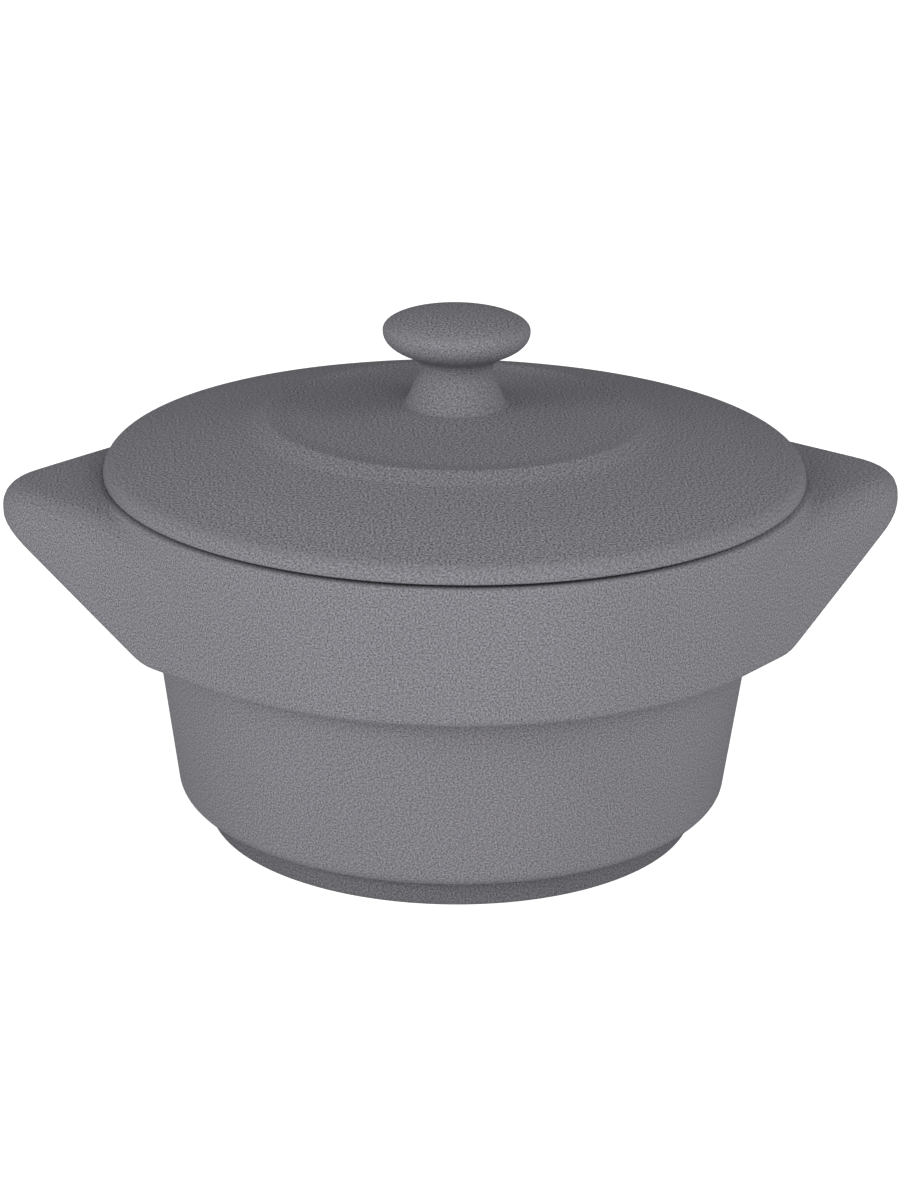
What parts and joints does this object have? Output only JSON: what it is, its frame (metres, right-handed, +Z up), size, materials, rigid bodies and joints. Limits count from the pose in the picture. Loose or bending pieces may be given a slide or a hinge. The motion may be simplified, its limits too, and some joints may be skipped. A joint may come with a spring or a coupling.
{
  "type": "lidded baking dish",
  "caption": "Round ceramic baking dish with a stepped wall, flared lug handles, a foot ring and a lift-off lid with a knob.",
  "frame": {"origin": "centre of the foot ring, on the plane that the dish stands on", "axes": "+Z up along the bowl's axis, +X towards the right handle, -Y towards the front"},
  "size_m": [0.1284, 0.1016, 0.0754],
  "materials": {
    "matte_glaze": "matte grey glaze with a fine grit"
  },
  "bodies": {
    "dish": {"bowl": "matte_glaze", "left_handle": "matte_glaze", "right_handle": "matte_glaze"},
    "lid": {"lid": "matte_glaze", "knob": "matte_glaze"}
  },
  "joints": [
    {"name": "lid_lift", "type": "slide", "parent": "dish", "child": "lid", "axis": [0, 0, 1], "range_m": [0, 0.08]}
  ]
}
